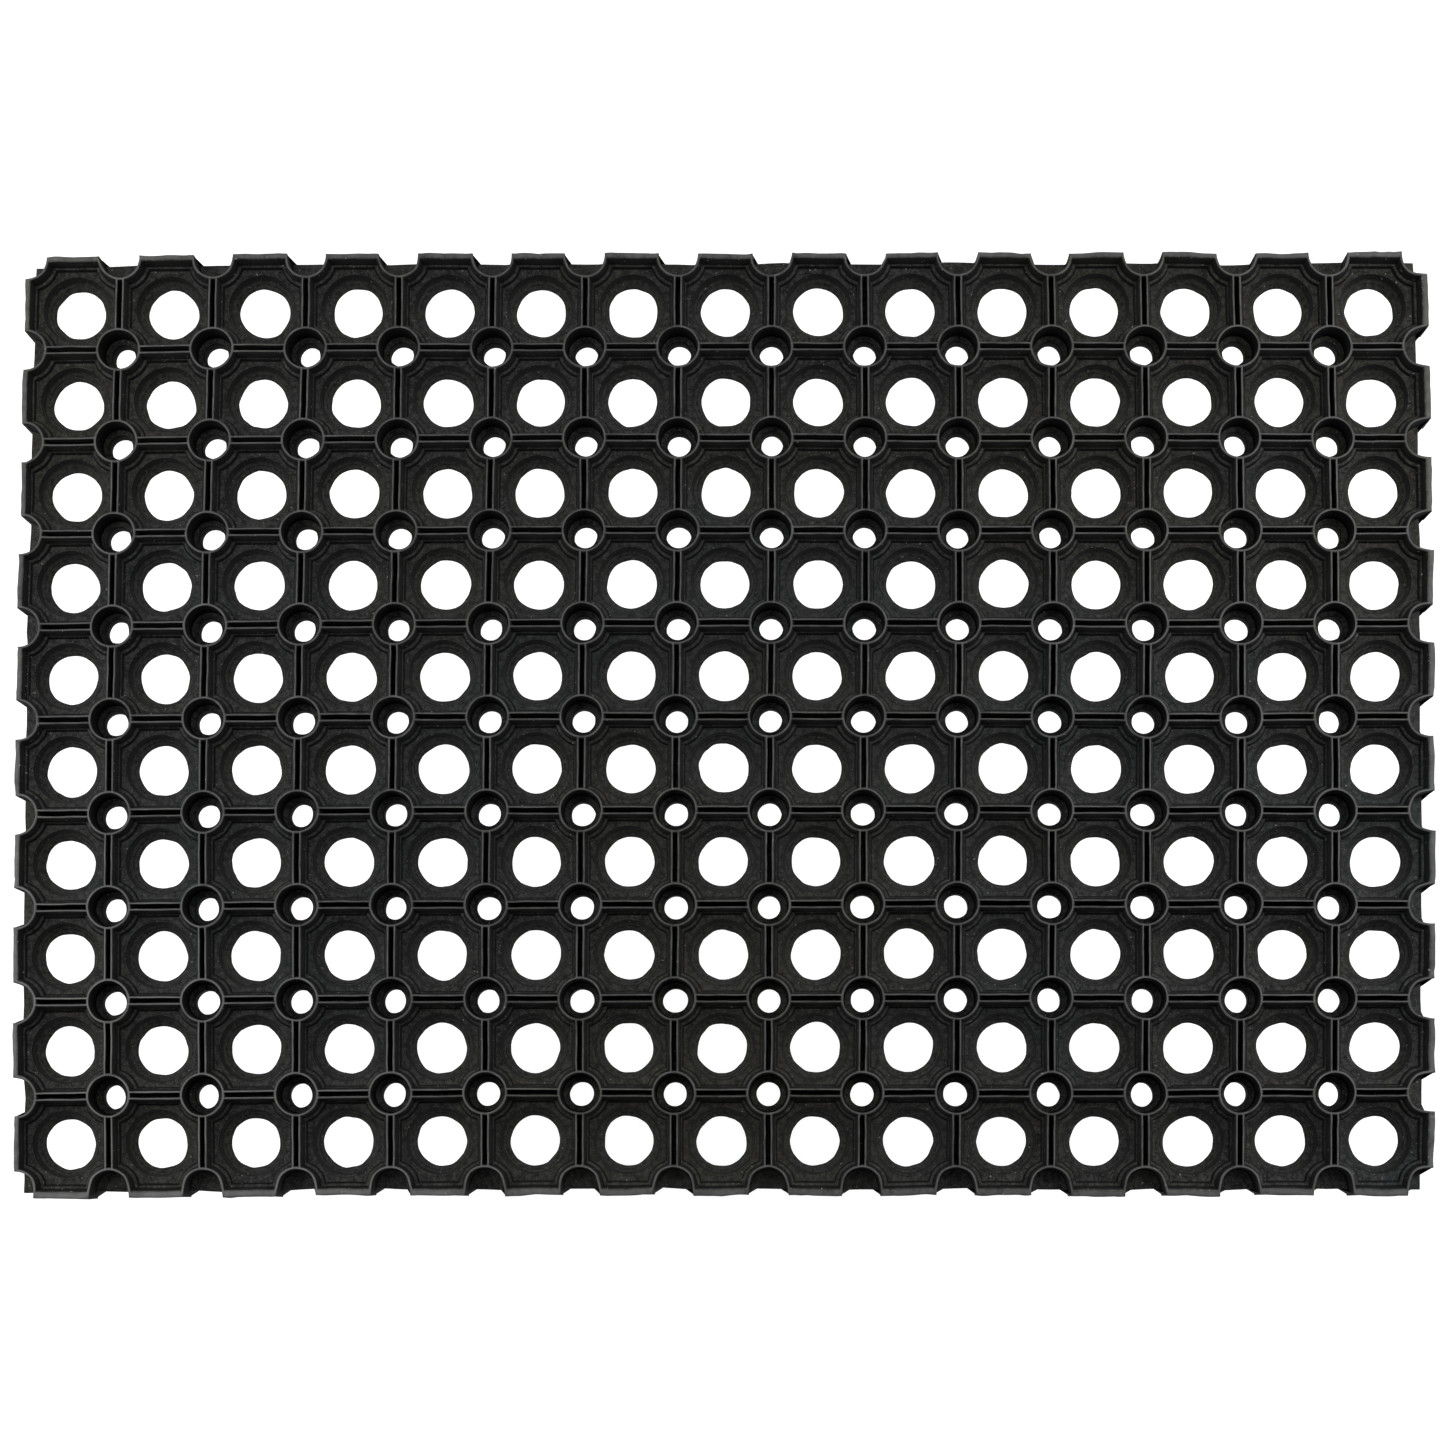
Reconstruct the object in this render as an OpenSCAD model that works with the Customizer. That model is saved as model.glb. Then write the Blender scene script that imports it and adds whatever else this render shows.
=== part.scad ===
// Rubber ring mat, made of cell columns that fold against each other along
// the thin webs between them. Origin at the middle of the underside, +X along
// the long side, +Y along the short side, +Z up. All sizes in millimetres.

/* [Mat] */
// Size of one square cell, centre to centre
pitch = 40; // [39:0.25:42]
// Cells along the short side
rows = 10; // [2:1:14]
// Overall thickness
mat_h = 22; // [21:0.5:26]

/* [Large holes] */
// Diameter of the large drain hole at its bottom
hole_d = 21.5; // [18:0.5:23]
// Diameter of the funnel around it, at the top of its slope
funnel_d = 28.4; // [27:0.2:30]
// Height at which the funnel's slope ends
funnel_z = 9.5; // [9:0.5:11]
// Height of the straight land at the bottom of the hole
land_z = 3; // [1:0.25:4]

/* [Cell steps] */
// Height of the lower ledge around the funnel
ledge_z = 12.75; // [11.5:0.25:13.5]
// Height of the upper step at the foot of the walls
step_z = 15; // [14.5:0.25:16]
// Distance from the grid line to the inside of a wall
wall_in = 2.5; // [2.25:0.05:2.9]
// Distance from the grid line to the lower ledge
ledge_in = 3.5; // [3.2:0.1:4]

/* [Rings] */
// Outer diameter of a ring
ring_od = 19.6; // [18.5:0.1:20]
// Diameter of a ring's wide upper bore
ring_id = 16.8; // [15.6:0.1:17]
// Diameter of a ring's narrow lower bore
drain_d = 11.4; // [9:0.2:13]
// Height of the shoulder between the two bores
shoulder_z = 8.25; // [7:0.25:11]
// Height of the closed floor of a half ring on an outer edge
edge_floor_z = 10.5; // [9.5:0.25:12]
// Outer diameter of the thicker foot of a ring
ring_foot_d = 24; // [22:0.2:25]

/* [Grooves and webs] */
// Width of the groove between two ridges
groove_w = 2.3; // [2.2:0.05:2.6]
// Height of the groove floor, where the web bends
web_z = 9; // [8:0.25:9.5]
// Half of the slit that parts two columns at the bending line
slit = 0.15; // [0.12:0.01:0.2]
// Half width of the relief under a web, at its bottom
relief = 1.3; // [1.25:0.05:1.6]

/* [Underside] */
// Height of the base above the floor, between the feet
foot_h = 3; // [2:0.25:3.5]
// Diameter of the round foot under each large hole
foot_d = 27; // [25:0.5:29]
// How far the floor of a half ring stops short of the edge
edge_in = 0.5; // [0.5:0.25:3]

/* [Hidden] */
columns = 15;
half = pitch / 2;
length_y = rows * pitch;
over = 1;                       // cutters run past the faces they open
rubber = [0.13, 0.13, 0.135];
rubber_b = [0.16, 0.16, 0.165]; // every second column, to tell them apart
$fn = 64;

function row_y(r) = (r - (rows - 1) / 2) * pitch;
function line_y(r) = (r - rows / 2) * pitch;
function column_x(c) = (c - (columns + 1) / 2) * pitch;

// Section of a column across its length, in x and z. A side that folds has
// the slit, the relief under the web and the groove wall; an outer side is
// plain and straight.
module section(left_folds, right_folds) {
    l = left_folds
        ? [[-half + relief, foot_h], [-half + slit, web_z],
           [-half + groove_w / 2, web_z], [-half + groove_w / 2, mat_h]]
        : [[-half, foot_h], [-half, mat_h]];
    r = right_folds
        ? [[half - groove_w / 2, mat_h], [half - groove_w / 2, web_z],
           [half - slit, web_z], [half - relief, foot_h]]
        : [[half, mat_h], [half, foot_h]];
    polygon(concat(l, r));
}

// The four rings at the corners of a cell, as discs of diameter d
module ring_discs(d) {
    for (sx = [-1, 1], sy = [-1, 1])
        translate([sx * half, sy * half]) circle(d = d);
}

// Square room of a cell whose corners are eaten by the rings
module cell_outline(inset, ring_d) {
    difference() {
        square(pitch - 2 * inset, center = true);
        ring_discs(ring_d);
    }
}

// Everything that is open inside one cell
module cell_room() {
    translate([0, 0, step_z])
        linear_extrude(mat_h - step_z + over) cell_outline(wall_in, ring_od);
    translate([0, 0, ledge_z])
        linear_extrude(step_z - ledge_z + 0.01) cell_outline(ledge_in, ring_foot_d);
    translate([0, 0, funnel_z])
        cylinder(d = funnel_d, h = ledge_z - funnel_z + 0.01);
    translate([0, 0, land_z])
        cylinder(d1 = hole_d, d2 = funnel_d, h = funnel_z - land_z);
    translate([0, 0, -over])
        cylinder(d = hole_d, h = land_z + over + 0.01);
}

// Stepped bore of a ring; open_below is false on the outer edges, where the
// wide bore is shallower and has a closed floor
module ring_bore(open_below) {
    z = open_below ? shoulder_z : edge_floor_z;
    translate([0, 0, z]) cylinder(d = ring_id, h = mat_h - z + over);
    if (open_below)
        translate([0, 0, -over]) cylinder(d = drain_d, h = z + over + 0.01);
}

// Groove between two cells of one column, from ring to ring
module cross_groove() {
    run = pitch - ring_od;
    translate([-run / 2, -groove_w / 2, web_z])
        cube([run, groove_w, mat_h - web_z + over]);
}

// Notch that pulls the floor of a half ring back from the outer edge; the
// edge is the line x = 0 and the mat lies on its +x side
module floor_notch() {
    translate([-over, -ring_id / 2, -over])
        cube([edge_in + over, ring_id, mat_h + 2 * over]);
}

// Round foot under a large hole
module foot() {
    cylinder(d = foot_d, h = foot_h + 0.5);
}

// One column of cells, standing at x = 0
module cell_column(left_folds = true, right_folds = true) {
    difference() {
        union() {
            translate([0, length_y / 2, 0]) rotate([90, 0, 0])
                linear_extrude(length_y) section(left_folds, right_folds);
            for (r = [0 : rows - 1]) translate([0, row_y(r), 0]) foot();
        }
        for (r = [0 : rows - 1]) translate([0, row_y(r), 0]) cell_room();
        for (r = [1 : rows - 1]) translate([0, line_y(r), 0]) cross_groove();
        for (r = [0 : rows], s = [-1, 1])
            translate([s * half, line_y(r), 0])
                ring_bore((s < 0 ? left_folds : right_folds) && r > 0 && r < rows);
        for (s = [-1, 1], e = [-1, 1])
            translate([s * half, e * length_y / 2, 0])
                rotate([0, 0, -90 * e]) floor_notch();
        if (!left_folds) for (r = [0 : rows])
            translate([-half, line_y(r), 0]) floor_notch();
        if (!right_folds) for (r = [0 : rows])
            translate([half, line_y(r), 0]) mirror([1, 0, 0]) floor_notch();
    }
}

// A column in its place along the mat
module placed(c) {
    color(c % 2 == 1 ? rubber : rubber_b)
        translate([column_x(c), 0, 0])
            cell_column(left_folds = c > 1, right_folds = c < columns);
}

module cell_column_01() { placed(1); }
module cell_column_02() { placed(2); }
module cell_column_03() { placed(3); }
module cell_column_04() { placed(4); }
module cell_column_05() { placed(5); }
module cell_column_06() { placed(6); }
module cell_column_07() { placed(7); }
module cell_column_08() { placed(8); }
module cell_column_09() { placed(9); }
module cell_column_10() { placed(10); }
module cell_column_11() { placed(11); }
module cell_column_12() { placed(12); }
module cell_column_13() { placed(13); }
module cell_column_14() { placed(14); }
module cell_column_15() { placed(15); }

cell_column_01();
cell_column_02();
cell_column_03();
cell_column_04();
cell_column_05();
cell_column_06();
cell_column_07();
cell_column_08();
cell_column_09();
cell_column_10();
cell_column_11();
cell_column_12();
cell_column_13();
cell_column_14();
cell_column_15();
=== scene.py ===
import math

import bpy
import numpy as np
from mathutils import Matrix, Vector
from mathutils.geometry import delaunay_2d_cdt, tessellate_polygon


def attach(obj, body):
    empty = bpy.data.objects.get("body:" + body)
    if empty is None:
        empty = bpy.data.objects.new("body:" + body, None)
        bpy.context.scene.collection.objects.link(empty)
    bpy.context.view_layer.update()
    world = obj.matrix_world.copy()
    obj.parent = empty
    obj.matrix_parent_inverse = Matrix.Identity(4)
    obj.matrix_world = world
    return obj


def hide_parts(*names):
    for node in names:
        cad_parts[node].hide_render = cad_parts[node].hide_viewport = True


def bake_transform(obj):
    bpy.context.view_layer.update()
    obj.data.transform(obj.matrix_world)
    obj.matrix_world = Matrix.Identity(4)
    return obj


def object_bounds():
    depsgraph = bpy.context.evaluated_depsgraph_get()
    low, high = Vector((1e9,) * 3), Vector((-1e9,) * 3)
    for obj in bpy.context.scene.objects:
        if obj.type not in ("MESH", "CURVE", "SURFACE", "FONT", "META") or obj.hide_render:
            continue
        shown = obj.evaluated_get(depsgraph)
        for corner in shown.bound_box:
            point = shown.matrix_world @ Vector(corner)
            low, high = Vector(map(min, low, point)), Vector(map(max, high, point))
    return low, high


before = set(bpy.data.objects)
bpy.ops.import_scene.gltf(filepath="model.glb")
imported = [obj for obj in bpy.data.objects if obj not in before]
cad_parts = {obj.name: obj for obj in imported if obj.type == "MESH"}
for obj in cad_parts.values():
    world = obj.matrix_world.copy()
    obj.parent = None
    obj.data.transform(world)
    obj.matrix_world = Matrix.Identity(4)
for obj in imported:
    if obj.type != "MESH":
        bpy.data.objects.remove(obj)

CAD_BOX = [list(map(float, c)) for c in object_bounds()]
MM = 0.001
COLUMNS = 15
LO = np.array(CAD_BOX[0]) / MM
HI = np.array(CAD_BOX[1]) / MM
PITCH = float(HI[0] - LO[0]) / COLUMNS          # one cell, mm
ROWS = int(round(float(HI[1] - LO[1]) / PITCH))
TOP = float(HI[2])                              # ridge and rim height, mm
H = PITCH / 2
X0, Y0 = -COLUMNS * H, -ROWS * H                # lower left corner of the grid

# ---------------------------------------------------------------- profiles
# Heights in mm over the floor, as (distance, height) along each feature.
HOLE_R = 10.6
# from the edge of the large hole outwards: land, funnel, riser, ledge
FUNNEL = [(10.6, 2.9), (10.85, 3.3), (11.6, 4.0), (11.95, 5.0), (12.7, 5.7), (13.05, 6.8),
          (13.6, 7.5), (13.95, 9.3), (14.15, 12.45), (14.4, 12.85)]
FLOOR_Z = 12.85
# from the grid line inwards: groove floor, groove wall, ridge, wall, step
WALL = [(0.0, 9.0), (0.45, 9.1), (0.62, 9.8), (0.98, 21.5), (1.16, TOP - 0.02),
        (1.5, TOP), (1.85, TOP - 0.35), (2.05, TOP - 1.0), (2.66, 15.7), (2.88, 15.25), (3.22, 15.1),
        (3.42, 14.75), (3.74, 13.1), (4.0, FLOOR_Z)]
# the same on an outer edge, where the wall is plain and full height
EDGE = [(0.0, TOP - 0.35), (0.3, TOP), (1.2, TOP - 0.02), (1.9, TOP - 0.3), (2.25, TOP - 1.0),
        (2.62, 15.7), (2.85, 15.25), (3.25, 15.1), (3.5, 14.75), (3.72, 13.1),
        (4.0, FLOOR_Z)]
# from the middle of a ring outwards: drain, shoulder, bore, rim, foot
DRAIN_R = 5.2
RING = [(5.2, 8.5), (5.5, 9.0), (7.5, 9.5), (7.95, 10.1), (8.4, 21.5), (8.6, TOP - 0.02),
        (9.0, TOP), (9.45, TOP - 0.35), (9.66, TOP - 1.0), (10.15, 15.8), (10.4, 15.25), (11.42, 15.1),
        (11.7, 14.7), (12.03, 13.1), (12.35, FLOOR_Z)]
SHUT = [(0.0, 10.6), (7.5, 10.7), (7.95, 11.2)] + RING[4:]   # a half ring's closed floor
RIM_MID = 9.0
BITE_R = 8.4
STEP = math.radians(7.5)
BITE_IN = BITE_R * math.sin(STEP) / 2           # its floor stops just short of the edge
# underside
U_FEET = [(10.6, 0.9), (10.85, 0.35), (11.3, 0.0), (13.0, 0.0), (13.3, 0.3),
          (13.45, 3.0)]
U_BASE = 3.0
U_LINE = [(0.0, 5.0), (0.45, 5.0), (1.3, U_BASE)]
U_DRAIN = [(5.2, 0.8), (5.5, 0.35), (7.6, 0.35), (8.0, U_BASE)]
NSEG = 48


def interp(points, d):
    p = np.array(points)
    return np.interp(d, p[:, 0], p[:, 1])


def snap(d, points, eps=0.03):
    """Distances within eps of a profile's break are put on it."""
    d = d.copy()
    for r, _ in points:
        d[np.abs(d - r) < eps] = r
    return d


def kind_of(e, sx, sy):
    """Which outer edges meet at a cell's corner: '', 'x', 'y' or 'xy'."""
    return ("x" if (e[0] if sx < 0 else e[1]) else "") + ("y" if (e[2] if sy < 0 else e[3]) else "")


def sides(x, y, e):
    return (x, -1, e[0]), (x, 1, e[1]), (y, -1, e[2]), (y, 1, e[3])


def top_z(x, y, e):
    """Height of a cell's upper surface. e flags the outer edges: left, right, lower, upper."""
    r = snap(np.hypot(x, y), FUNNEL)
    z = np.where(r < FUNNEL[-1][0], interp(FUNNEL, r), FLOOR_Z)
    groove = np.zeros(x.shape, bool)
    cap = np.full(x.shape, TOP)
    for a, s, flag in sides(x, y, e):
        prof = EDGE if flag else WALL
        d = snap(H - s * a, prof, 0.02)
        w = interp(prof, d)
        z = np.where(d < 2.7, w, np.where(d < prof[-1][0], np.maximum(z, w), z))
        if flag:
            cap = np.minimum(cap, np.where(d < 0.3, w, TOP))
        else:
            groove |= d < 1.1
    for sx in (-1, 1):
        for sy in (-1, 1):
            q = np.hypot(H - sx * x, H - sy * y)
            prof = SHUT if kind_of(e, sx, sy) else RING
            q = snap(q, prof)
            outer = interp(prof, q)
            tube = np.interp(q, [9.0, 9.45, 9.66, 10.1], [TOP, TOP - 0.35, TOP - 1.0, 9.0])
            z = np.where(q < prof[-1][0], np.maximum(z, np.where(groove, tube, outer)), z)
            z = np.where(q < RIM_MID, outer, z)
    return np.minimum(z, cap)


def under_z(x, y, e):
    r = snap(np.hypot(x, y), U_FEET)
    z = np.where(r <= U_FEET[-1][0], interp(U_FEET, r), U_BASE)
    for a, s, flag in sides(x, y, e):
        if not flag:
            z = np.maximum(z, interp(U_LINE, snap(H - s * a, U_LINE)))
    for sx in (-1, 1):
        for sy in (-1, 1):
            if not kind_of(e, sx, sy):
                q = snap(np.hypot(H - sx * x, H - sy * y), U_DRAIN)
                z = np.where(q <= U_DRAIN[-1][0], interp(U_DRAIN, q), z)
    return z


# ------------------------------------------------------------- cell layout
def circle(cx, cy, r):
    a = 2 * np.pi * np.arange(NSEG) / NSEG
    return [(cx + r * c, cy + r * s) for c, s in zip(np.cos(a), np.sin(a))]


class Plan:
    """Points and constraint edges of one cell."""

    def __init__(self):
        self.v, self.e, self.key = [], [], {}

    def point(self, x, y):
        k = (round(x * 1000 + 0.137), round(y * 1000 + 0.137))
        if k not in self.key:
            self.key[k] = len(self.v)
            self.v.append((x, y))
        return self.key[k]

    def line(self, pts, closed=False):
        ids = [self.point(*p) for p in pts]
        self.e += [(a, b) for a, b in zip(ids, ids[1:] + (ids[:1] if closed else [])) if a != b]

    def kept(self, pts, keep):
        for a, b in zip(pts, pts[1:] + pts[:1]):
            if keep(*a) and keep(*b):
                self.line([a, b])


def half_step(r):
    """The middle of a circle's first chord, counted from the outer edge: (along the edge, inwards)."""
    return r * (1 + math.cos(STEP)) / 2, r * math.sin(STEP) / 2


def bite(sx, sy, kind):
    """Outline of a half ring's notch at a corner: the outer edge, a stretch of the bore, the floor's edge."""
    along, inward = half_step(BITE_R)
    pts = []
    if "x" in kind:
        pts += [(H, H - BITE_R), (H - inward, H - along), (H - BITE_IN, H - 5.0),
                (H - BITE_IN, H if kind == "x" else H - BITE_IN)]
    if "y" in kind:
        pts += [(H if kind == "y" else H - BITE_IN, H - BITE_IN), (H - 5.0, H - BITE_IN),
                (H - along, H - inward), (H - BITE_R, H)]
    return [(sx * x, sy * y) for x, y in pts]


def outside(x, y, e):
    """True where a point lies in the open notch of a half ring."""
    out = np.zeros(x.shape, bool)
    for sx in (-1, 1):
        for sy in (-1, 1):
            k = kind_of(e, sx, sy)
            u, v = H - sx * x, H - sy * y
            near = np.hypot(u, v) < BITE_R
            if "x" in k:
                out |= near & (u < BITE_IN)
            if "y" in k:
                out |= near & (v < BITE_IN)
    return out


def make_plan(e, top):
    p = Plan()
    for r, _ in FUNNEL if top else U_FEET:
        p.line(circle(0, 0, r), closed=True)
    for sx in (-1, 1):
        for sy in (-1, 1):
            k = kind_of(e, sx, sy)
            prof = (RING if top else U_DRAIN) if not k else ([q for q in RING if q[0] >= 7.5] if top else [])

            def keep(x, y, k=k, sx=sx, sy=sy):
                u, v = H - sx * x, H - sy * y
                if u < -1e-6 or v < -1e-6 or u > H + 1e-6 or v > H + 1e-6:
                    return False
                if math.hypot(u, v) < BITE_R - 0.01:
                    if "x" in k and u < BITE_IN - 1e-6 or "y" in k and v < BITE_IN - 1e-6:
                        return False
                return True
            for r, _ in prof:
                p.kept(circle(sx * H, sy * H, r), keep)
            if k:
                p.line(bite(sx, sy, k))
                for r in ([r for r, _ in prof if r <= BITE_R] if top else []):
                    along, inward = half_step(r)
                    full, deep = r * math.cos(STEP), r * math.sin(STEP)
                    if "x" in k:
                        p.line([(sx * (H - inward), sy * (H - along)), (sx * (H - deep), sy * (H - full))])
                    if "y" in k:
                        p.line([(sx * (H - along), sy * (H - inward)), (sx * (H - full), sy * (H - deep))])
    for n, (flag, sxy) in enumerate(zip(e, ((-1, 0), (1, 0), (0, -1), (0, 1)))):
        prof = (EDGE if flag else WALL) if top else ([(0.0, 0.0)] if flag else U_LINE)
        for d, _ in prof:
            if d > 0.01:
                rr = RIM_MID if top else U_DRAIN[-1][0]
                reach = H - math.sqrt(rr * rr - d * d)
                ts = sorted({-reach, reach, *map(float, np.linspace(-9, 9, 7))})
            else:
                ends = []
                for s in (-1, 1):
                    corner = (sxy[0], s) if sxy[0] else (s, sxy[1])
                    k = kind_of(e, *corner)
                    if flag:
                        cuts = [r for r, _ in RING if r > 8.2]
                    elif k:
                        cuts = [BITE_IN, 5.0] + ([r for r, _ in RING if r >= 7.5] if top else [])
                    else:
                        cuts = [r for r, _ in (RING if top else U_DRAIN)]
                    ends += [s * (H - c) for c in cuts]
                if flag:
                    more = np.linspace(-6, 6, 5)
                else:
                    more = np.linspace(-6, 6, 5) if top else np.linspace(-12, 12, 9)
                ts = sorted({*ends, *map(float, more)})
            c = H - d
            sgn = sxy[0] or sxy[1]
            p.line([(sgn * c, t) if sxy[0] else (t, sgn * c) for t in ts])
    for s in (-1, 1):
        p.line([(0.0, s * t) for t in (HOLE_R, 17.0, H)])
    return p


def triangulate(e, top):
    p = make_plan(e, top)
    vo, _, fo, *_ = delaunay_2d_cdt([Vector(v) for v in p.v], p.e, [], 0, 1e-5)
    v = np.array([(a.x, a.y) for a in vo])
    f = np.array([t for t in fo if len(t) == 3], np.int64)
    c = v[f].mean(1)
    flat = math.cos(math.pi / NSEG)
    keep = np.hypot(c[:, 0], c[:, 1]) > HOLE_R * flat
    for sx in (-1, 1):
        for sy in (-1, 1):
            if not kind_of(e, sx, sy):
                keep &= np.hypot(c[:, 0] - sx * H, c[:, 1] - sy * H) > DRAIN_R * flat
    keep &= ~outside(c[:, 0], c[:, 1], e)
    f = f[keep]
    a, b, d = v[f[:, 0]], v[f[:, 1]], v[f[:, 2]]
    area = (b[:, 0] - a[:, 0]) * (d[:, 1] - a[:, 1]) - (b[:, 1] - a[:, 1]) * (d[:, 0] - a[:, 0])
    f[area < 0] = f[area < 0][:, ::-1]
    f = f[np.abs(area) > 1e-6]
    used = np.unique(f)
    back = -np.ones(len(v), np.int64)
    back[used] = np.arange(len(used))
    return v[used], back[f]


def sheet_of_cells(top):
    """The whole upper or lower surface, welded along the grid lines: plan points, heights, triangles."""
    made, vs, zs, fs, n = {}, [], [], [], 0
    for j in range(ROWS):
        for i in range(COLUMNS):
            e = (i == 0, i == COLUMNS - 1, j == 0, j == ROWS - 1)
            if e not in made:
                v, f = triangulate(e, top)
                made[e] = v, (top_z if top else under_z)(v[:, 0], v[:, 1], e), f
            v, z, f = made[e]
            vs.append(v + (X0 + (i + 0.5) * PITCH, Y0 + (j + 0.5) * PITCH))
            zs.append(z)
            fs.append(f + n)
            n += len(v)
    v, z, f = np.vstack(vs), np.concatenate(zs), np.vstack(fs)
    key = np.round(v * 1000 + 0.137).astype(np.int64)
    _, first, inverse = np.unique(key, axis=0, return_index=True, return_inverse=True)
    inverse = inverse.reshape(-1)
    return v[first], z[first], inverse[f]


def open_loops(f):
    """Closed loops of the edges that have one face only, each in the faces' own direction."""
    ed = np.vstack([f[:, [0, 1]], f[:, [1, 2]], f[:, [2, 0]]])
    n = ed.max() + 1
    code, rev = ed[:, 0] * n + ed[:, 1], ed[:, 1] * n + ed[:, 0]
    rim = ed[~np.isin(code, rev)]
    follow = {}
    for a, b in rim.tolist():
        follow.setdefault(a, []).append(b)
    loops = []
    while follow:
        a = next(iter(follow))
        loop = [a]
        while True:
            b = follow[loop[-1]].pop()
            if not follow[loop[-1]]:
                del follow[loop[-1]]
            if b == a:
                break
            loop.append(b)
        loops.append(loop)
    return loops


def zip_loops(top, under, vt, vu, offset):
    """Triangles of the side wall between an upper and a lower loop of the same plan outline."""
    a = np.array(top)
    b = np.array(under)[::-1]                    # the lower surface is seen from above here too
    start = np.argmin(((vu[b] - vt[a[0]]) ** 2).sum(1))
    b = np.roll(b, -start)
    a, b = np.r_[a, a[:1]], np.r_[b, b[:1]]
    sa = np.r_[0, np.cumsum(np.linalg.norm(np.diff(vt[a], axis=0), axis=1))]
    sb = np.r_[0, np.cumsum(np.linalg.norm(np.diff(vu[b], axis=0), axis=1))]
    sb *= sa[-1] / sb[-1]
    i = j = 0
    out = []
    while i < len(a) - 1 or j < len(b) - 1:
        na = sa[i + 1] if i < len(a) - 1 else 1e9
        nb = sb[j + 1] if j < len(b) - 1 else 1e9
        if abs(na - nb) < 2e-3:
            out += [(a[i], b[j] + offset, a[i + 1]), (a[i + 1], b[j] + offset, b[j + 1] + offset)]
            i, j = i + 1, j + 1
        elif na < nb:
            out.append((a[i], b[j] + offset, a[i + 1]))
            i += 1
        else:
            out.append((a[i], b[j] + offset, b[j + 1] + offset))
            j += 1
    return out


def build_mat():
    vt, zt, ft = sheet_of_cells(True)
    vu, zu, fu = sheet_of_cells(False)
    lt, lu = open_loops(ft), open_loops(fu)
    print("surfaces", len(vt), len(ft), len(vu), len(fu), "loops", len(lt), len(lu))
    ct = np.array([vt[l].mean(0) for l in lt])
    cu = np.array([vu[l].mean(0) for l in lu])
    if len(lt) != len(lu):
        for name, loops, v in (("top", lt, vt), ("under", lu, vu)):
            odd = sorted((len(l), v[l].mean(0).round(2).tolist()) for l in loops)
            print(name, odd[:6], odd[-3:])
        raise SystemExit("the two surfaces have different openings")
    walls = []
    big_t = max(range(len(lt)), key=lambda k: len(lt[k]))
    big_u = max(range(len(lu)), key=lambda k: len(lu[k]))
    for k, loop in enumerate(lt):
        if k == big_t:
            other = big_u
        else:
            d = ((cu - ct[k]) ** 2).sum(1)
            d[big_u] = 1e9
            other = int(np.argmin(d))
        # start both loops at a corner of the outline that they share
        if k == big_t:
            s = int(np.argmin(vt[loop].sum(1)))
            loop = loop[s:] + loop[:s]
        # under faces are stored counter-clockwise from above, so their loop runs the same way
        walls += zip_loops(loop, lu[other][::-1], vt, vu, len(vt))
    v = np.vstack([np.c_[vt, zt], np.c_[vu, zu]])
    f = np.vstack([ft, fu[:, ::-1] + len(vt), np.array(walls, np.int64)[:, [0, 1, 2]]])
    return v, f, len(vt)


# -------------------------------------------------------- moulding defects
def lattice(i, seed):
    h = (i[:, 0] * 73856093) ^ (i[:, 1] * 19349663) ^ (i[:, 2] * 83492791) ^ (seed * 374761393)
    h &= 0xffffffff
    h = ((h ^ (h >> 13)) * 1274126177) & 0xffffffff
    h ^= h >> 16
    return h / 2147483648.0 - 1.0


def noise(p, seed):
    """Smooth value noise from -1 to 1 with a repeat of one unit, the same every run."""
    i = np.floor(p).astype(np.int64)
    f = p - i
    u = f * f * (3 - 2 * f)
    total = np.zeros(len(p))
    for c in range(8):
        d = np.array([c & 1, c >> 1 & 1, c >> 2 & 1])
        w = np.prod(np.where(d, u, 1 - u), axis=1)
        total += w * lattice(i + d, seed)
    return total


def ramp(x, a, b):
    t = np.clip((x - a) / (b - a), 0, 1)
    return t * t * (3 - 2 * t)


def cell_coords(p):
    """Position in its own cell, from the cell's centre, mm."""
    x = (p[:, 0] - X0) % PITCH - H
    y = (p[:, 1] - Y0) % PITCH - H
    return x, y


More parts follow.
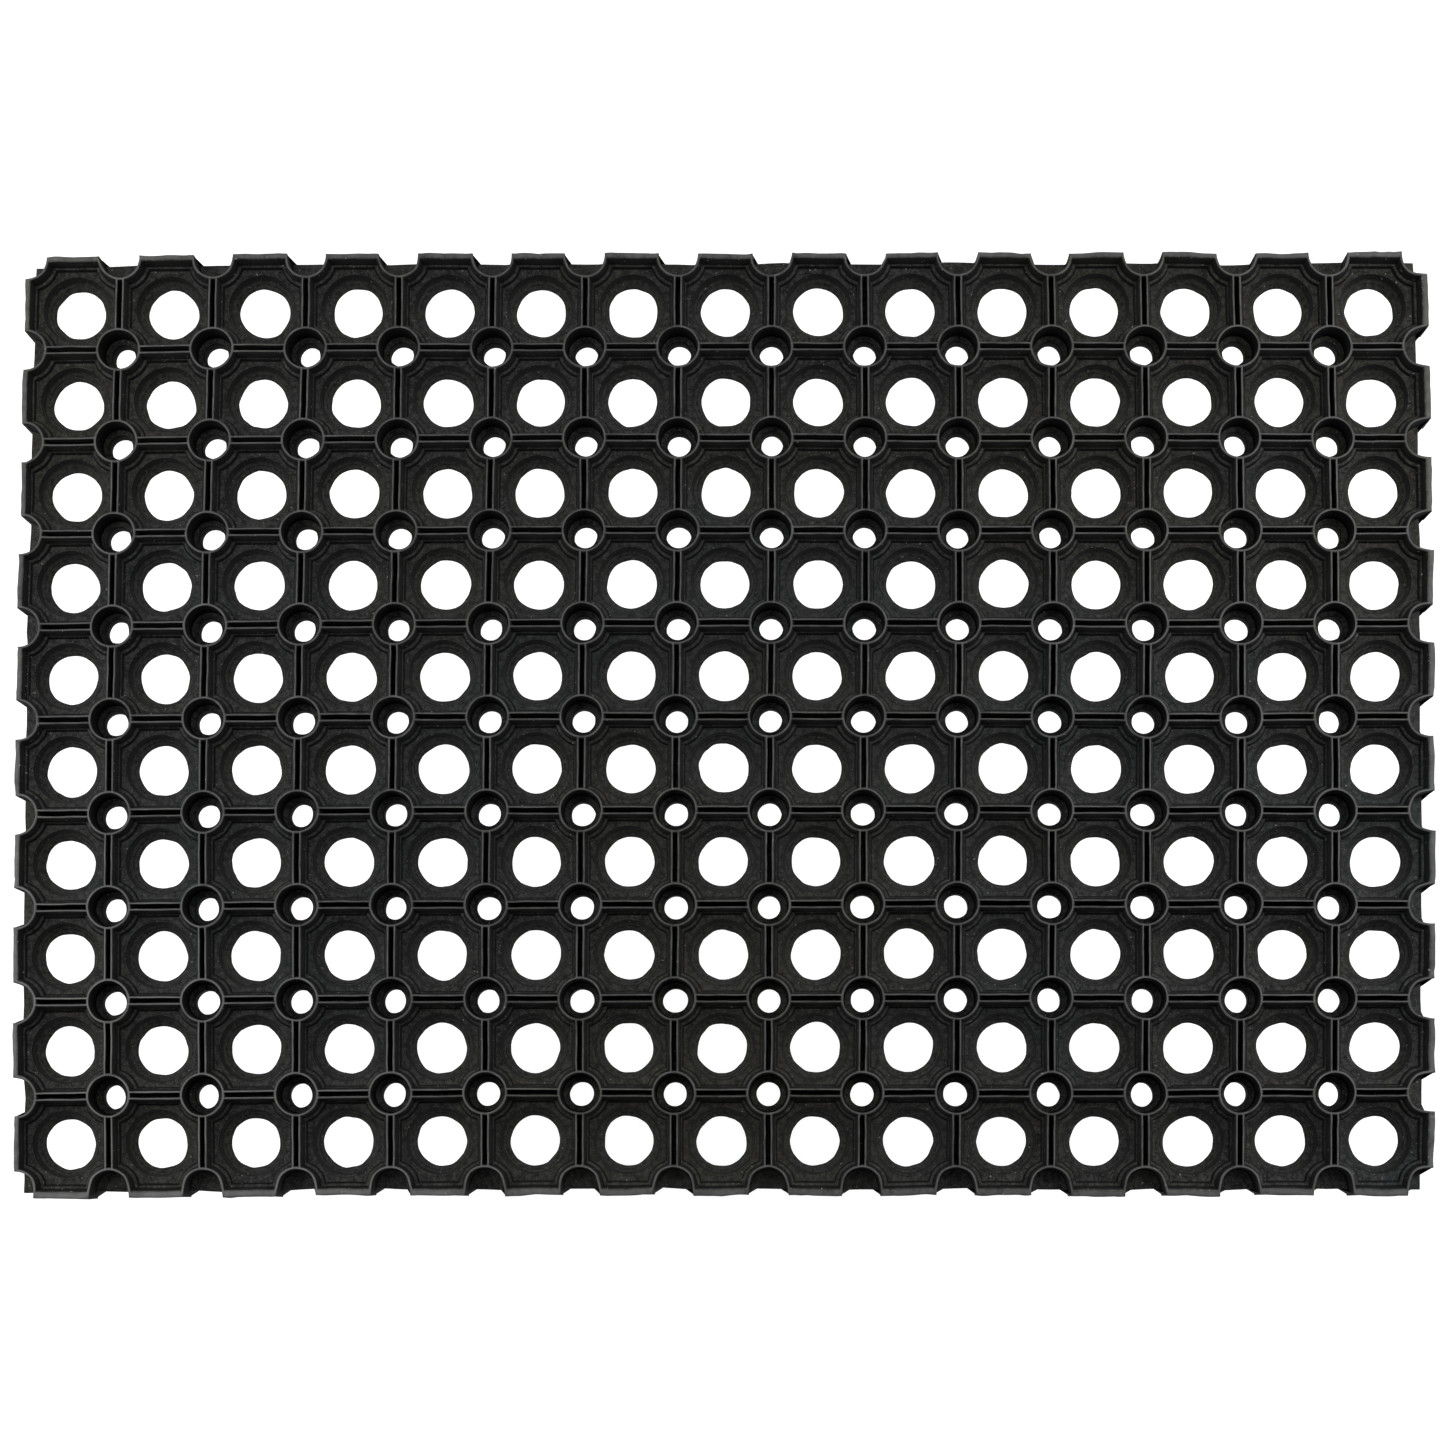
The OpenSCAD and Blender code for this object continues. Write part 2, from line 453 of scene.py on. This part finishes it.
def weather(v):
    """Small irregularities of a moulded mat: wavy cut edges, uneven holes, soft ridges."""
    p = v.copy()
    x, y = cell_coords(v)
    r = np.hypot(x, y)
    edge = np.minimum.reduce([v[:, 0] - X0, -X0 - v[:, 0], v[:, 1] - Y0, -Y0 - v[:, 1]])
    flat = v * (1, 1, 0)
    # the sheet lies a little askew, as a soft mat does
    a = np.clip(v[:, 0] / 300, -1, 1)
    b = np.clip(v[:, 1] / 200, -1, 1)
    p[:, 0] += 0.7 * (0.65 + 1.47 * a + 1.69 * b - 1.89 * a * a + 1.89 * a * b - 0.06 * b * b
                      - 0.76 * a ** 3 - 0.57 * a * a * b - 3.07 * a * b * b - 0.81 * b ** 3)
    p[:, 1] += 0.7 * (0.37 - 0.04 * a + 0.62 * b - 1.39 * a * a - 1.19 * a * b + 0.28 * b * b
                      + 0.81 * a ** 3 - 0.15 * a * a * b - 0.13 * a * b * b - 0.97 * b ** 3)
    # and is never quite straight
    p[:, 0] += 0.35 * noise(flat / 95 + 11.3, 1) + 0.12 * noise(flat / 23, 2)
    p[:, 1] += 0.35 * noise(flat / 95 + 47.9, 3) + 0.12 * noise(flat / 23, 4)
    # trimmed outline: the walls stand a little wide, most of all on the lower side, and the
    # floors of the half rings stop short of them
    u, w = H - np.abs(x), H - np.abs(y)
    q = np.maximum(np.hypot(u, w), 1e-6)
    wall = ramp(q, 7.4, 8.35)
    p[:, 0] += ramp(v[:, 0], -X0 - 6, -X0) * (3.2 * wall - 1.1)
    p[:, 0] -= ramp(-v[:, 0], -X0 - 6, -X0) * (1.4 * wall - 1.1)
    p[:, 1] += ramp(v[:, 1], -Y0 - 6, -Y0) * 1.1 * wall
    p[:, 1] -= ramp(-v[:, 1], -Y0 - 6, -Y0) * (2.2 * wall + 1.2)
    k = ramp(edge, 5.0, 0.0)
    p[:, 0] += k * (0.60 * noise(flat / 24, 5) + 0.34 * noise(flat / 8, 16) + 0.18 * noise(v / 3.1, 6))
    p[:, 1] += k * (0.60 * noise(flat / 24, 7) + 0.34 * noise(flat / 8, 17) + 0.18 * noise(v / 3.1, 8))
    # hole edges, where the moulding's web was punched out
    k = ramp(r, 14.2, 10.9) * (r > HOLE_R - 0.2)
    w = 0.50 * noise(v / 8.5, 9) + 0.27 * noise(v / 3.6, 10) + 0.08 * noise(v / 1.3, 15)
    safe = np.maximum(r, 1e-6)
    p[:, 0] += k * w * x / safe
    p[:, 1] += k * w * y / safe
    # drains of the rings, each torn open a little differently
    k = ramp(q, 7.4, 5.6) * (q > DRAIN_R - 0.1)
    k *= 0.12 + 0.50 * noise(flat / 33 + 5.5, 18) + 0.30 * noise(v / 6.0, 19) + 0.12 * noise(v / 2.5, 20)
    p[:, 0] += k * np.sign(x) * u / q
    p[:, 1] += k * np.sign(y) * w / q
    # ridge and rim tops wander a little
    k = ramp(v[:, 2], 18.0, TOP)
    p[:, 0] += k * 0.13 * noise(flat / 5.2, 11)
    p[:, 1] += k * 0.13 * noise(flat / 5.2, 12)
    p[:, 2] -= k * (0.12 + 0.12 * noise(flat / 7.0, 13))
    # small nicks in the trimmed edge
    nick = np.clip(noise(flat / 3.4, 14) - 0.62, 0, 1) * ramp(edge, 2.4, 0.3) * ramp(v[:, 2], 19.0, TOP)
    p[:, 2] -= 2.6 * nick
    return p


def corner_normals(p, f, limit=52):
    """Normals at each face's corners: smooth over soft bends, broken over hard ones."""
    face = np.cross(p[f[:, 1]] - p[f[:, 0]], p[f[:, 2]] - p[f[:, 0]])
    unit = face / np.maximum(np.linalg.norm(face, axis=1), 1e-12)[:, None]
    order = np.argsort(f.ravel(), kind="stable")    # corners, vertex by vertex
    owner, vert = order // 3, f.ravel()[order]
    first = np.searchsorted(vert, vert, side="left")
    count = np.searchsorted(vert, vert, side="right") - first
    rank = np.arange(len(vert)) - first
    total = face[owner].copy()
    for k in range(1, int(count.max())):
        live = np.flatnonzero(count > k)
        other = owner[first[live] + (rank[live] + k) % count[live]]
        near = (unit[owner[live]] * unit[other]).sum(1) > math.cos(math.radians(limit))
        total[live[near]] += face[other[near]]
    out = np.empty_like(total)
    out[order] = total / np.maximum(np.linalg.norm(total, axis=1), 1e-12)[:, None]
    return out.reshape(-1, 3, 3)


# ------------------------------------------------------------------ pieces
def cap_cuts(v, f):
    """Triangles that close a piece where it was cut from its neighbour."""
    out = []
    for loop in open_loops(f):
        ring = loop[::-1]
        pts = [Vector((v[i, 1], v[i, 2], 0.0)) for i in ring]
        area = sum(a.x * b.y - b.x * a.y for a, b in zip(pts, pts[1:] + pts[:1]))
        for a, b, c in tessellate_polygon([pts]):
            pa, pb, pc = pts[a], pts[b], pts[c]
            s = (pb.x - pa.x) * (pc.y - pa.y) - (pb.y - pa.y) * (pc.x - pa.x)
            if abs(s) > 1e-9:
                out.append((ring[a], ring[b], ring[c]) if s * area > 0 else (ring[a], ring[c], ring[b]))
    return np.array(out, np.int64)


def make_piece(name, v, p, n, f, mat):
    """One closed piece from some of the mat's faces. v is the exact shape, p the weathered one,
    n the normals at the faces' corners."""
    used = np.unique(f)
    back = -np.ones(len(v), np.int64)
    back[used] = np.arange(len(used))
    f = back[f]
    v, p = v[used], p[used]
    caps = cap_cuts(v, f)
    faces = np.vstack([f, caps])
    me = bpy.data.meshes.new(name)
    me.vertices.add(len(p))
    me.vertices.foreach_set("co", (p * MM).astype(np.float32).ravel())
    me.loops.add(faces.size)
    me.loops.foreach_set("vertex_index", faces.astype(np.int32).ravel())
    me.polygons.add(len(faces))
    me.polygons.foreach_set("loop_start", np.arange(0, faces.size, 3, dtype=np.int32))
    me.polygons.foreach_set("use_smooth", np.ones(len(faces), bool))
    me.update(calc_edges=True)
    corner = n.reshape(-1, 3)
    if len(caps):
        side = np.sign(v[caps].mean(1)[:, 0] - v[:, 0].mean())
        corner = np.vstack([corner, np.repeat(np.c_[side, 0 * side, 0 * side], 3, axis=0)])
    me.normals_split_custom_set(corner.astype(np.float32).tolist())
    x, y = cell_coords(v)
    edge = np.minimum.reduce([v[:, 0] - X0, -X0 - v[:, 0], v[:, 1] - Y0, -Y0 - v[:, 1]])
    rest = me.attributes.new("rest", "FLOAT_VECTOR", "POINT")
    rest.data.foreach_set("vector", (v * MM).astype(np.float32).ravel())
    # one attribute lightens the tops toward the outer columns and the lower left: wear and painted highlight
    for key, values in (("bore", np.hypot(x, y)), ("trim", ramp(edge, 12.0, 0.0)),
                        ("height", v[:, 2] / TOP),
                        ("wear_and_highlight", 0.22 * ramp(np.abs(v[:, 0]), 110, 250)
                         + 0.55 * ramp(-v[:, 0] / 300 - v[:, 1] / 200, 0.8, 1.6)),
                        ("ring", np.hypot(H - np.abs(x), H - np.abs(y)))):
        a = me.attributes.new(key, "FLOAT", "POINT")
        a.data.foreach_set("value", values.astype(np.float32))
    a = me.attributes.new("steep", "FLOAT", "CORNER")
    a.data.foreach_set("value", (1 - np.abs(corner[:, 2])).astype(np.float32))
    me.materials.append(mat)
    if me.validate(verbose=False, clean_customdata=False):
        print(name, "needed repair")
    o = bpy.data.objects.new(name, me)
    bpy.context.collection.objects.link(o)
    return o


# --------------------------------------------------------------- materials
def rubber_material():
    mat = bpy.data.materials.new("black_rubber")
    mat.use_nodes = True
    nt = mat.node_tree
    nt.nodes.clear()
    new, link = nt.nodes.new, nt.links.new
    out, bsdf = new("ShaderNodeOutputMaterial"), new("ShaderNodeBsdfPrincipled")
    link(bsdf.outputs[0], out.inputs[0])
    bsdf.inputs["IOR"].default_value = 1.5
    bsdf.inputs["Specular IOR Level"].default_value = 0.13

    def attribute(name):
        n = new("ShaderNodeAttribute")
        n.attribute_name = name
        return n

    def math_node(op, a, b=None, c=None, clamp=False):
        n = new("ShaderNodeMath")
        n.operation, n.use_clamp = op, clamp
        for s, val in zip(n.inputs, (a, b, c)):
            if val is None:
                continue
            if hasattr(val, "is_output"):
                link(val, s)
            else:
                s.default_value = val
        return n.outputs[0]

    def noise_node(scale, detail=3.0, rough=0.55, shift=(0, 0, 0)):
        m = new("ShaderNodeVectorMath")
        m.operation = "ADD"
        link(at_rest, m.inputs[0])
        m.inputs[1].default_value = shift
        n = new("ShaderNodeTexNoise")
        n.inputs["Scale"].default_value = scale
        n.inputs["Detail"].default_value = detail
        n.inputs["Roughness"].default_value = rough
        link(m.outputs[0], n.inputs["Vector"])
        return n.outputs[0]

    def remap(x, a, b, lo=0.0, hi=1.0):
        n = new("ShaderNodeMapRange")
        n.clamp = True
        link(x, n.inputs[0])
        for s, val in zip(list(n.inputs)[1:5], (a, b, lo, hi)):
            s.default_value = val
        return n.outputs[0]

    def mix(fac, a, b):
        n = new("ShaderNodeMix")
        n.data_type = "RGBA"
        s = {i.identifier: i for i in n.inputs}
        if hasattr(fac, "is_output"):
            link(fac, s["Factor_Float"])
        else:
            s["Factor_Float"].default_value = fac
        for key, val in (("A_Color", a), ("B_Color", b)):
            if hasattr(val, "is_output"):
                link(val, s[key])
            else:
                s[key].default_value = (*val, 1)
        return next(o for o in n.outputs if o.identifier == "Result_Color")

    def mix_value(fac, a, b):
        return math_node("MULTIPLY_ADD", fac, math_node("SUBTRACT", b, a), a)

    at_rest = attribute("rest").outputs["Vector"]
    bore = attribute("bore").outputs["Fac"]
    trim = attribute("trim").outputs["Fac"]
    height = attribute("height").outputs["Fac"]
    steep = attribute("steep").outputs["Fac"]
    ring = attribute("ring").outputs["Fac"]

    # colour: a nearly black compound, cloudy from the press, with warm and cool patches
    cloud = noise_node(17, 4, 0.6)
    blotch = noise_node(95, 4, 0.62, (3.1, 0, 0))
    grit = noise_node(1300, 2, 0.6, (0, 5.3, 0))
    colour = mix(remap(cloud, 0.35, 0.68), (0.0235, 0.0238, 0.0234), (0.0365, 0.0368, 0.0350))
    colour = mix(remap(blotch, 0.45, 0.75, 0.0, 0.55), colour, (0.0390, 0.0392, 0.0366))
    colour = mix(remap(noise_node(52, 3, 0.55, (0, 0, 8.7)), 0.56, 0.74, 0.0, 0.5), colour, (0.0280, 0.0264, 0.0290))
    # dust in brown, green and blue greys, thicker in places
    dusty = remap(noise_node(11, 4, 0.6, (2.2, 0, 6.1)), 0.40, 0.68)
    stain = noise_node(31, 4, 0.65, (0, 4.4, 1.9))
    colour = mix(math_node("MULTIPLY", dusty, remap(stain, 0.50, 0.66, 0.0, 0.70)), colour, (0.0570, 0.0490, 0.0310))
    colour = mix(math_node("MULTIPLY", remap(stain, 0.46, 0.34, 0.0, 0.45), dusty), colour, (0.0190, 0.0345, 0.0358))
    colour = mix(remap(noise_node(430, 3, 0.6, (6, 1, 0)), 0.42, 0.62, 0.0, 0.80), colour, (0.0070, 0.0073, 0.0070))
    colour = mix(remap(grit, 0.50, 0.70, 0.0, 0.85), colour, (0.072, 0.073, 0.068))
    # broad patches of olive and blue-green grey
    colour = mix(remap(noise_node(4.6, 3, 0.55, (0.3, 0.9, 0)), 0.46, 0.60, 0.0, 0.42), colour, (0.0410, 0.0375, 0.0262))
    colour = mix(remap(noise_node(4.1, 3, 0.55, (5.7, 2.1, 0)), 0.50, 0.64, 0.0, 0.50), colour, (0.0215, 0.0332, 0.0340))
    # the funnel is painted a little paler; concentric dark arcs round the hole are painted shade, standing in for
    # the shadowed steps of the funnel
    funnel = math_node("MULTIPLY", remap(bore, 10.75, 11.0), remap(bore, 14.0, 13.8))
    colour = mix(math_node("MULTIPLY", funnel, 0.55), colour, (0.0365, 0.0368, 0.0342))
    swing = math_node("MULTIPLY_ADD", noise_node(38, 2, 0.5, (1, 5, 5)), 4.0, math_node("MULTIPLY_ADD", bore, 4.83, -3.6))
    # painted shade: dark concentric arcs between the hole and the ledge
    shade_arcs = math_node("MULTIPLY", remap(math_node("SINE", swing), 0.35, 0.95), remap(bore, 10.9, 11.4))
    shade_arcs = math_node("MULTIPLY", shade_arcs, remap(bore, 16.6, 14.6, 0.0, 0.85))
    colour = mix(math_node("MULTIPLY", shade_arcs, remap(noise_node(50, 3, 0.6, (8, 0, 3)), 0.38, 0.62, 0.15, 1.0)),
                 colour, (0.0045, 0.0047, 0.0045))
    # mottled skin
    mottle = remap(noise_node(520, 3, 0.7, (5, 2, 9)), 0.34, 0.66, 0.0, 1.0)
    colour = mix(math_node("MULTIPLY", remap(mottle, 0.45, 0.05), 0.60), colour, (0.0050, 0.0052, 0.0050))
    colour = mix(math_node("MULTIPLY", remap(mottle, 0.56, 0.95), 0.38), colour, (0.0800, 0.0800, 0.0750))
    # painted shade: steep walls are painted near black, darker than the faces that look up, and on the funnel only
    # where it is steepest
    wall = mix_value(funnel, remap(steep, 0.14, 0.60, 0.0, 0.93), remap(steep, 0.50, 0.80, 0.0, 0.80))
    # but the painted shade is mostly left off the cut sides of the mat
    wall = math_node("MULTIPLY", wall, remap(trim, 0.950, 0.985, 1.0, 0.15))
    colour = mix(wall, colour, (0.0046, 0.0049, 0.0047))
    # painted shade: the bore of a ring is painted nearly black
    tube = math_node("MULTIPLY", remap(ring, 8.55, 8.35), remap(steep, 0.15, 0.40))
    colour = mix(math_node("MULTIPLY", tube, 0.80), colour, (0.0010, 0.0010, 0.0010))
    # tops of ridges and rims painted paler: partly rubbed wear, partly a painted highlight
    top = remap(height, 0.982, 0.998)
    rub_and_highlight = math_node("MULTIPLY", top, remap(noise_node(140, 4, 0.65, (7, 7, 0)), 0.33, 0.66, 0.25, 1.0))
    colour = mix(rub_and_highlight, colour, (0.093, 0.095, 0.091))
    # tops paler still toward the outer columns and the lower left: wear and a painted highlight where the side
    # lights catch them
    used = math_node("MULTIPLY", math_node("MULTIPLY", top, attribute("wear_and_highlight").outputs["Fac"]),
                     remap(noise_node(75, 4, 0.65, (2, 7, 7)), 0.30, 0.60, 0.2, 1.0))
    colour = mix(used, colour, (0.170, 0.173, 0.168))
    # paler patches on the tops: wear and painted highlight
    scuff_and_highlight = math_node("MULTIPLY", top, remap(noise_node(23, 5, 0.7, (3, 8, 1)), 0.55, 0.72))
    colour = mix(math_node("MULTIPLY", scuff_and_highlight, remap(noise_node(310, 3, 0.6, (3, 0, 4)), 0.40, 0.62)),
                 colour, (0.135, 0.138, 0.133))
    # pale dust specks, more of them near the trimmed edge
    fleck = noise_node(820, 1, 0.4, (1.7, 2.9, 0))
    many = remap(noise_node(28, 3, 0.5, (0, 2.2, 4.4)), 0.45, 0.7)
    level = math_node("SUBTRACT", 0.770, math_node("MULTIPLY", math_node("ADD", trim, 0.35), math_node("MULTIPLY", many, 0.06)))
    speck = math_node("MULTIPLY", math_node("SUBTRACT", fleck, level), 30.0, clamp=True)
    speck = math_node("MULTIPLY", speck, math_node("SUBTRACT", 1.0, tube))
    colour = mix(math_node("MULTIPLY", speck, 0.7), colour, (0.30, 0.30, 0.28))
    link(colour, bsdf.inputs["Base Color"])

    # sheen of the skin: smooth from the tool, duller in patches
    rough = remap(noise_node(60, 4, 0.6, (0, 0, 3.3)), 0.3, 0.7, 0.46, 0.62)
    rough = math_node("ADD", rough, remap(grit, 0.35, 0.75, -0.03, 0.07))
    rough = math_node("ADD", rough, math_node("MULTIPLY", rub_and_highlight, 0.06))
    # the skin shines on what looks up; cut and drafted walls are matt
    rough = math_node("ADD", rough, remap(steep, 0.12, 0.50, 0.0, 0.42))
    link(math_node("MINIMUM", rough, 1.0), bsdf.inputs["Roughness"])

    # relief: rings left by turning the tool, pitted skin, soft lumps
    turned = math_node("SINE", math_node("MULTIPLY", bore, 9.5))
    inside = math_node("MULTIPLY", remap(bore, 10.7, 11.2), remap(bore, 14.6, 14.2))
    turned = math_node("MULTIPLY", math_node("MULTIPLY", turned, inside),
                       remap(noise_node(45, 2, 0.5, (9, 0, 0)), 0.35, 0.65, 0.1, 1.0))
    relief = math_node("MULTIPLY", turned, 0.018)
    relief = math_node("ADD", relief, math_node("MULTIPLY", noise_node(180, 3, 0.6, (0, 6, 0)), 0.30))
    relief = math_node("ADD", relief, math_node("MULTIPLY", noise_node(700, 3, 0.65, (4, 0, 2)), 0.13))
    relief = math_node("ADD", relief, math_node("MULTIPLY", grit, 0.075))
    bump = new("ShaderNodeBump")
    bump.inputs["Strength"].default_value = 0.75
    bump.inputs["Distance"].default_value = 0.001
    link(relief, bump.inputs["Height"])
    link(bump.outputs[0], bsdf.inputs["Normal"])
    return mat


def floor_material():
    """White sweep, bright enough to stay white inside the holes."""
    mat = bpy.data.materials.new("studio_floor")
    mat.use_nodes = True
    nt = mat.node_tree
    bsdf = nt.nodes["Principled BSDF"]
    bsdf.inputs["Base Color"].default_value = (0.5, 0.5, 0.5, 1)
    bsdf.inputs["Roughness"].default_value = 0.9
    bsdf.inputs["Specular IOR Level"].default_value = 0.1
    bsdf.inputs["Emission Color"].default_value = (1, 1, 1, 1)
    bsdf.inputs["Emission Strength"].default_value = 0.80
    return mat


# === END OF GEOMETRY
exact, faces, _ = build_mat()
shape = weather(exact)
normals = corner_normals(shape, faces)
rubber = rubber_material()
centre = [X0 + (c + 0.5) * PITCH for c in range(COLUMNS)]
which = np.searchsorted(centre, exact[faces].mean(1)[:, 0])
for k in range(COLUMNS + 1):
    part = faces[which == k]
    if k == 0:
        o = make_piece("mat_edge_left", exact, shape, normals[which == k], part, rubber)
        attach(o, "column_01")
        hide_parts("cell_column_01")
    elif k == COLUMNS:
        o = make_piece("mat_edge_right", exact, shape, normals[which == k], part, rubber)
        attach(o, f"column_{COLUMNS:02d}")
        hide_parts(f"cell_column_{COLUMNS:02d}")
    else:
        o = make_piece(f"mat_web_{k:02d}", exact, shape, normals[which == k], part, rubber)
        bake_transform(o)
        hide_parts(f"cell_column_{k:02d}", f"cell_column_{k + 1:02d}")

# ------------------------------------------------------------------- stage
# The floor lies low enough for the mat to curl down over its middle without going through it.
DROP, FAR = -0.26, 40
me = bpy.data.meshes.new("floor")
me.from_pydata([(-FAR, -FAR, DROP), (FAR, -FAR, DROP), (FAR, FAR, DROP), (-FAR, FAR, DROP)], [], [(0, 1, 2, 3)])
me.materials.append(floor_material())
floor = bpy.data.objects.new("floor", me)
bpy.context.collection.objects.link(floor)


def softbox(name, place, aim, size, power, tint=(1, 1, 1)):
    light = bpy.data.lights.new(name, "AREA")
    light.shape = "RECTANGLE"
    light.size, light.size_y = size
    light.energy = power
    light.color = tint
    o = bpy.data.objects.new(name, light)
    o.location = place
    o.rotation_euler = (Vector(aim) - Vector(place)).to_track_quat("-Z", "Y").to_euler()
    bpy.context.collection.objects.link(o)


softbox("softbox_left", (-0.68, -0.03, 0.42), (-0.1, 0, 0), (0.24, 1.0), 3.9)
softbox("softbox_right", (0.68, 0.06, 0.42), (0.1, 0, 0), (0.24, 1.0), 4.5)
softbox("softbox_back", (0.0, 0.80, 0.62), (0, 0, 0), (1.2, 0.3), 3.2)
softbox("softbox_top", (0.0, 0.45, 2.1), (0, 0, 0), (1.2, 1.2), 4.5)

world = bpy.data.worlds.new("studio")
bpy.context.scene.world = world
world.use_nodes = True
wn = world.node_tree
background = wn.nodes["Background"]
coords, split, band = (wn.nodes.new(t) for t in
                       ("ShaderNodeTexCoord", "ShaderNodeSeparateXYZ", "ShaderNodeValToRGB"))
wn.links.new(coords.outputs["Generated"], split.inputs[0])
wn.links.new(split.outputs["Z"], band.inputs[0])
wn.links.new(band.outputs[0], background.inputs[0])
band.color_ramp.elements[0].position = 0.10
band.color_ramp.elements[0].color = (0.95, 0.95, 0.95, 1)
band.color_ramp.elements[1].position = 1.0
band.color_ramp.elements[1].color = (0.12, 0.12, 0.125, 1)
band.color_ramp.elements.new(0.45).color = (0.12, 0.12, 0.122, 1)
background.inputs[1].default_value = 1.0

# ------------------------------------------------------------------ camera
HIGH, FOOT, ACROSS = 1.40, (0.03, -0.210), 0.620
AIM = (0.0, -0.100)                             # where the optical axis meets the floor
cam = bpy.data.cameras.new("camera")
camera = bpy.data.objects.new("camera", cam)
bpy.context.collection.objects.link(camera)
camera.location = (*FOOT, HIGH)
look = Vector((*AIM, 0)) - camera.location
back = -look.normalized()
across = (Vector((1, 0, 0)) - back * back.x).normalized()
camera.rotation_euler = Matrix((across, back.cross(across), back)).transposed().to_euler()
cam.sensor_fit, cam.sensor_width = "HORIZONTAL", 36
cam.lens = 36 * look.length / ACROSS
cam.shift_y = -AIM[1] / ACROSS
cam.dof.use_dof = False
bpy.context.scene.camera = camera
bpy.context.scene.view_settings.view_transform = "Standard"
